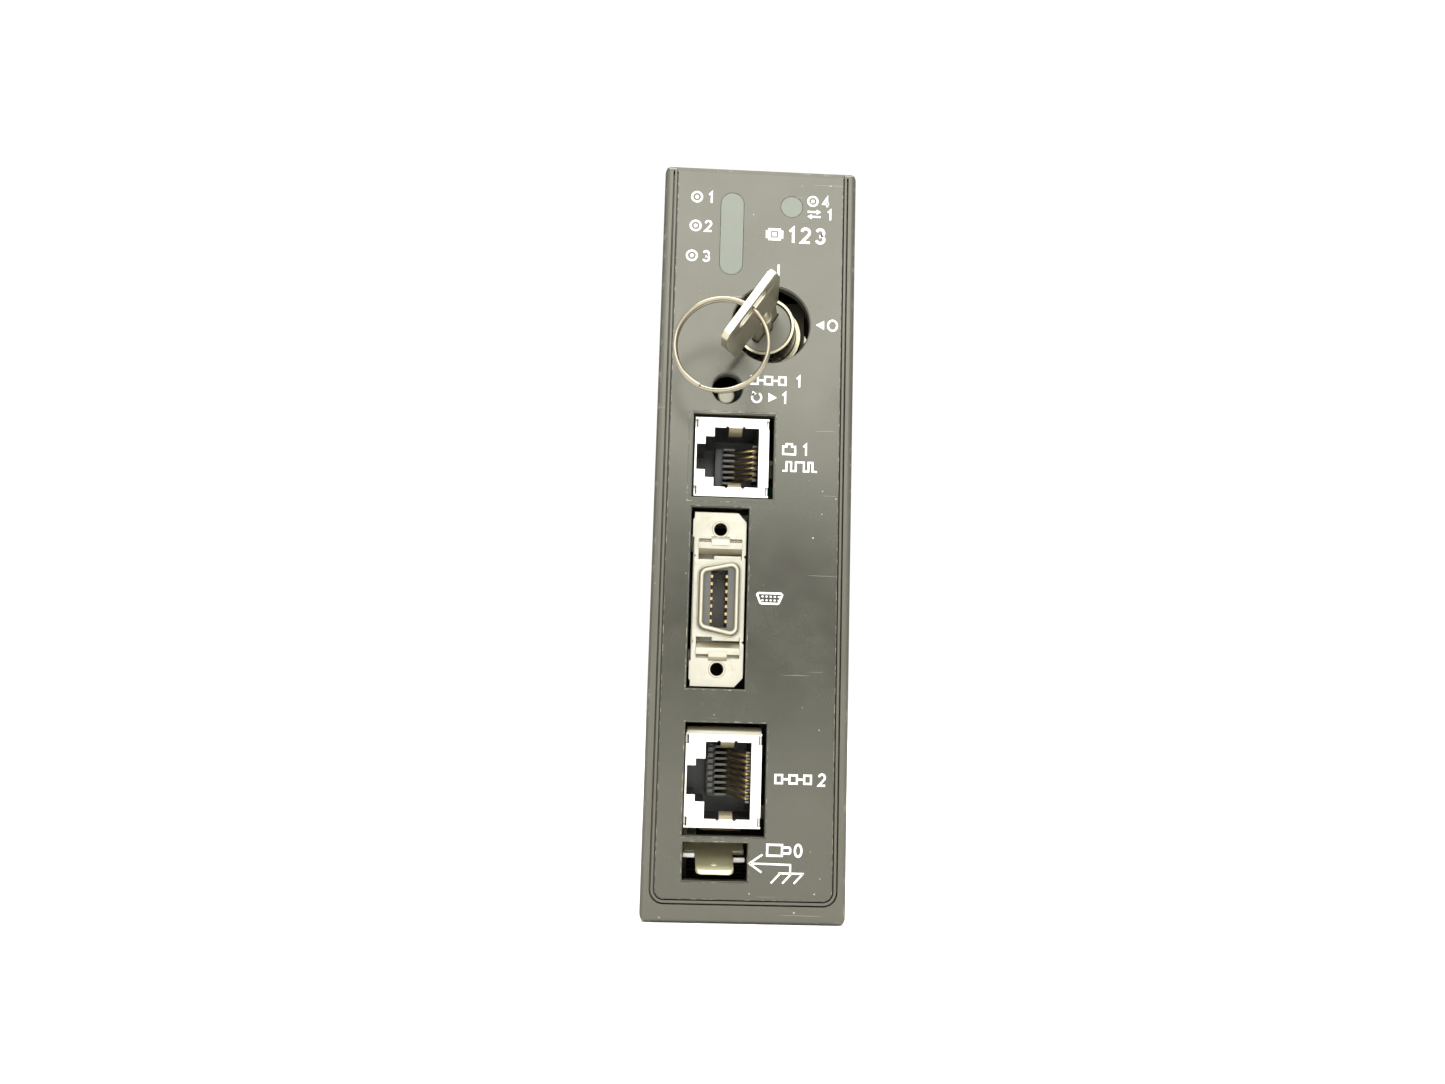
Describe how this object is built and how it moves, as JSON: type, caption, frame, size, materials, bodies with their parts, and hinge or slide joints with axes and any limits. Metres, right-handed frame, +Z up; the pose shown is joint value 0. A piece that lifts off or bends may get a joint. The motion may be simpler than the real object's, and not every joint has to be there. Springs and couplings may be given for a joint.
{
  "type": "plc module",
  "caption": "Upright rack controller module with a key lock and ring, recessed restart button, lamp windows, modular jacks, a D-shaped connector, ground tab, rear plug and latch.",
  "frame": {"origin": "centre of the rear seating face", "axes": "+X across the width to the right as seen from the front, +Y from the front face back into the rack, +Z up"},
  "size_m": [0.034, 0.1538, 0.13],
  "materials": {
    "case_plastic": "satin charcoal moulded plastic",
    "overlay_film": "satin printed film",
    "frosted_lens": "frosted translucent",
    "label_film": "blank satin label",
    "board_laminate": "solder mask",
    "black_plastic": "moulded, fine grain",
    "gold_contact": "gold plated",
    "tinned_shield": "bright tin plate",
    "satin_nickel": "satin nickel plate",
    "insulator_grey": "grey moulding",
    "zinc_steel": "zinc plate",
    "bright_nickel": "bright nickel plate, light wear",
    "plug_metal": "satin",
    "ivory_plastic": "moulded",
    "button_plastic": "pale grey-green",
    "lamp_plastic": "diffused lens",
    "capacitor_can": "sleeved can"
  },
  "bodies": {
    "module": {"housing_shell": "case_plastic", "front_cover": "case_plastic", "face_overlay": "overlay_film", "status_window": "frosted_lens", "port_window": "frosted_lens", "rating_label": "label_film", "main_board": "board_laminate", "network_board": "board_laminate", "board_standoffs": "zinc_steel", "standoff_screws": "zinc_steel", "link_socket": "black_plastic", "link_header": "black_plastic", "backplane_connector": "black_plastic", "backplane_contacts": "gold_contact", "serial_jack_shield": "tinned_shield", "serial_jack_body": "black_plastic", "serial_jack_contacts": "gold_contact", "aux_bracket": "satin_nickel", "aux_shell": "satin_nickel", "aux_insulator": "insulator_grey", "aux_contacts": "gold_contact", "aux_nuts": "zinc_steel", "network_jack_shield": "tinned_shield", "network_jack_body": "black_plastic", "network_jack_contacts": "gold_contact", "ground_tab": "satin_nickel", "ground_screw": "zinc_steel", "lock_bracket": "zinc_steel", "lock_barrel": "bright_nickel", "lock_nut": "zinc_steel", "switch_block": "black_plastic", "switch_terminals": "gold_contact", "restart_switch_body": "black_plastic", "restart_spring": "zinc_steel", "restart_pins": "gold_contact", "status_leds": "lamp_plastic", "port_led": "lamp_plastic", "led_holder": "black_plastic", "cpu_chip": "black_plastic", "memory_chips": "black_plastic", "network_chip": "black_plastic", "logic_chips": "black_plastic", "pulse_transformer": "black_plastic", "crystal_cans": "zinc_steel", "capacitors": "capacitor_can", "lever_pin": "zinc_steel", "lever_spring": "zinc_steel"},
    "lock_core": {"lock_plug": "plug_metal", "switch_rotor": "ivory_plastic"},
    "key": {"key": "bright_nickel"},
    "key_ring": {"key_ring": "bright_nickel"},
    "restart_button": {"restart_button": "button_plastic"},
    "release_lever": {"release_lever": "case_plastic"}
  },
  "joints": [
    {"name": "key_turn", "type": "hinge", "parent": "module", "child": "lock_core", "pos_m": [0.00135, -0.129, 0.0366], "axis": [-0.1392, -0.9903, 0], "range_deg": [-55, 35]},
    {"name": "key_withdraw", "type": "slide", "parent": "lock_core", "child": "key", "axis": [-0.1392, -0.9903, 0], "range_m": [0, 0.024]},
    {"name": "key_ring_swing", "type": "hinge", "parent": "key", "child": "key_ring", "pos_m": [-0.00235, -0.14504, 0.03455], "axis": [-0.8112, 0.114, 0.5736], "range_deg": [-40, 200]},
    {"name": "restart_press", "type": "slide", "parent": "module", "child": "restart_button", "axis": [0, 1, 0], "range_m": [0, 0.0008], "stiffness_N_per_m": 600, "springref_m": -0.0005},
    {"name": "lever_press", "type": "hinge", "parent": "module", "child": "release_lever", "pos_m": [0, -0.056, -0.0616], "axis": [1, 0, 0], "range_deg": [0, 3.5], "stiffness_Nm_per_rad": 1.5, "springref_deg": -3.44, "deforming": ["lever_spring"]}
  ]
}
